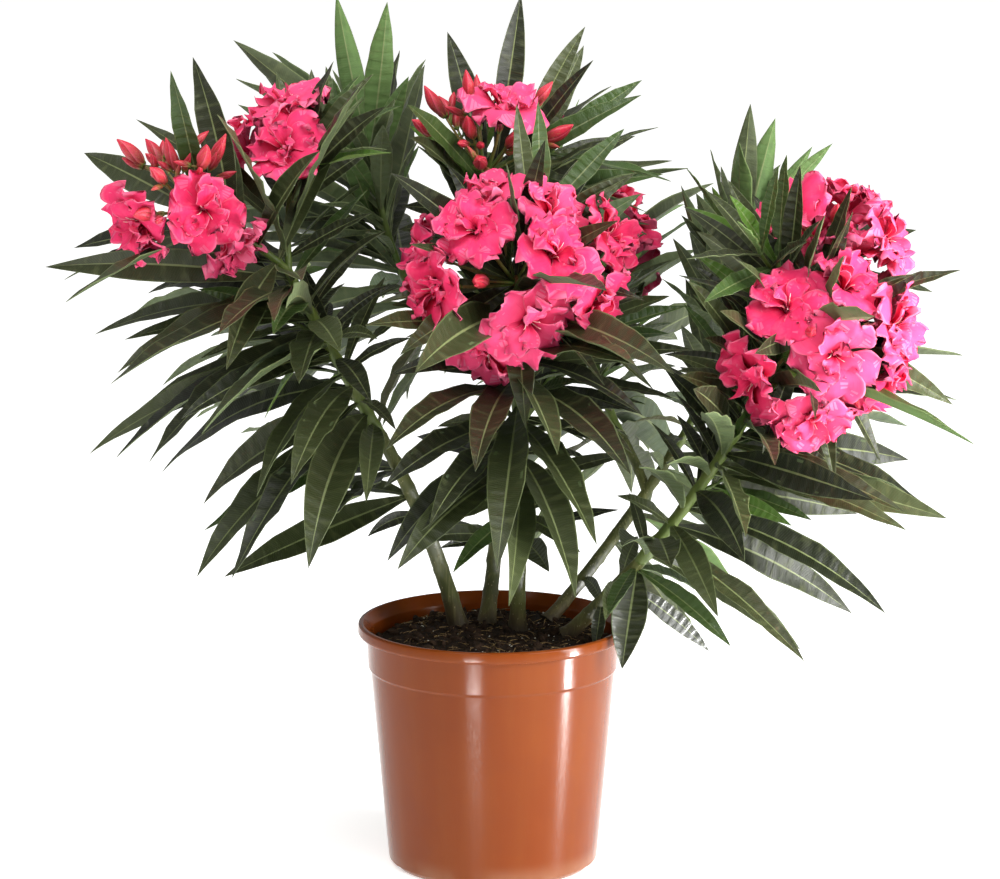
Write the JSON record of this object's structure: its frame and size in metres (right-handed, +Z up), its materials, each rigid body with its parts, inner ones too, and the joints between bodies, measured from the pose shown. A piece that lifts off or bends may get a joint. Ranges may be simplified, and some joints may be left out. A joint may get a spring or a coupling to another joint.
{
  "type": "potted oleander",
  "caption": "Flowering oleander shrub in a round plastic nursery pot: stems from the soil forking into boughs, masses of long leaves in whorls of three, heads of double pink blooms and buds.",
  "frame": {"origin": "centre of the pot's flat underside", "axes": "+Z up, -Y towards the front of the plant, +X to its right as seen from the front"},
  "size_m": [0.7046, 0.5599, 0.6713],
  "materials": {
    "pot": "smooth terracotta-coloured plastic, soft gloss",
    "soil": "loose dark potting soil, dull",
    "bark": "smooth olive green bark, browner at the foot",
    "foliage": "leathery dark green leaves, half gloss",
    "petals": "silky pink petals, deeper in the throat"
  },
  "bodies": {
    "root": {"pot": "pot", "soil": "soil", "stem_left": "bark", "stem_back_left": "bark", "stem_centre": "bark", "stem_back_right": "bark", "stem_right": "bark", "bough_top": "bark", "bough_back_left": "bark", "bough_right_back": "bark", "bough_back": "bark", "leaves_left": "foliage", "leaves_back_left": "foliage", "leaves_middle": "foliage", "leaves_top": "foliage", "leaves_centre": "foliage", "leaves_right": "foliage", "leaves_right_back": "foliage", "leaves_back": "foliage"}
  },
  "joints": []
}
